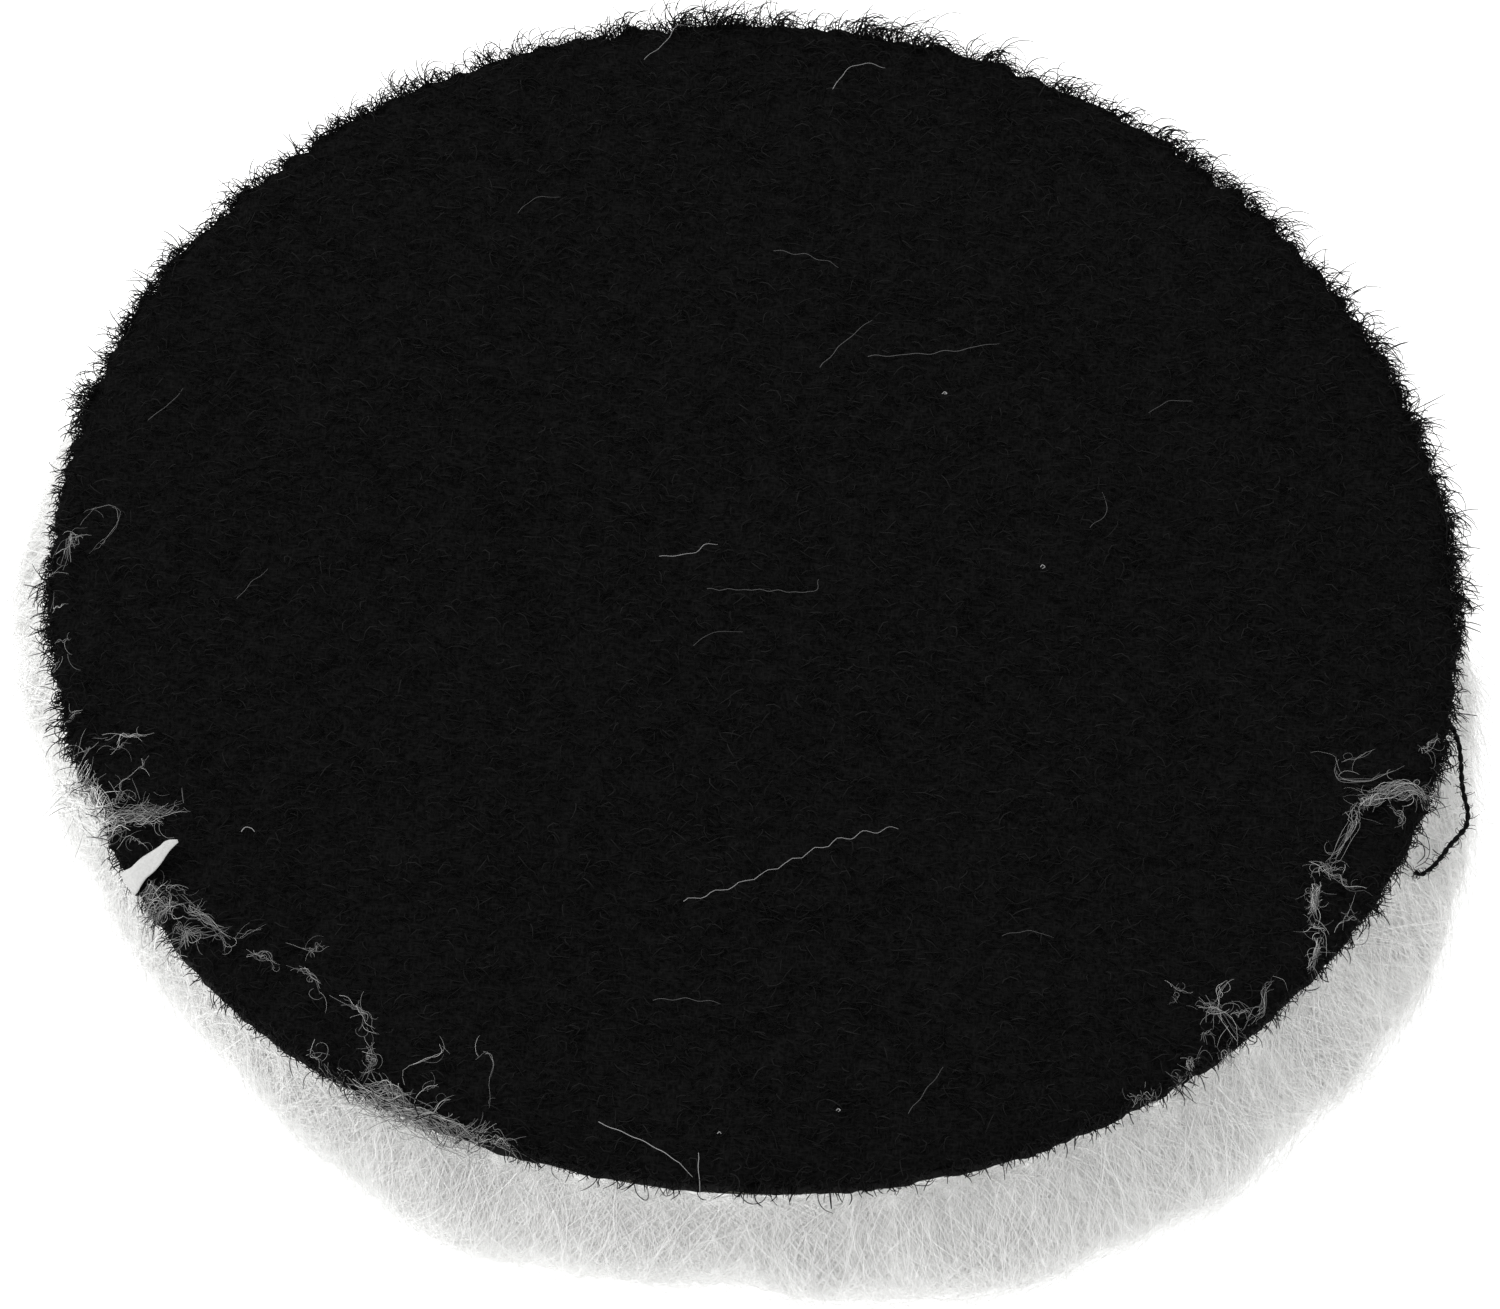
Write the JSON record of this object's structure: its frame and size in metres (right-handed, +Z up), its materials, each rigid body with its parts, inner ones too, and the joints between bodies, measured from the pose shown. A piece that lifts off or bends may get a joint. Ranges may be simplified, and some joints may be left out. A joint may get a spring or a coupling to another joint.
{
  "type": "wool polishing pad",
  "caption": "Round hook-and-loop polishing pad: a black brushed loop face on top, a white lambswool pile below, laminated as a soft disc.",
  "frame": {"origin": "centre of the wool's working face, where the pad lies on a surface", "axes": "+Z up through the pad's centre, out of the loop face that fastens to a backing plate; +X and +Y lie in the working face, and the pad is round about Z"},
  "size_m": [0.0808, 0.0808, 0.0096],
  "materials": {
    "loop_nap": "matte brushed nylon loops, black",
    "loop_ground_cloth": "matte warp-knitted polyester, black",
    "adhesive_film": "cloudy hot-melt film",
    "wool_backing": "matte knitted cloth, undyed",
    "wool_pile": "matte lambswool pile, white"
  },
  "bodies": {
    "root": {"loop_nap": "loop_nap", "loop_ground_cloth": "loop_ground_cloth", "adhesive_film": "adhesive_film", "wool_backing": "wool_backing", "wool_pile": "wool_pile"}
  },
  "joints": []
}
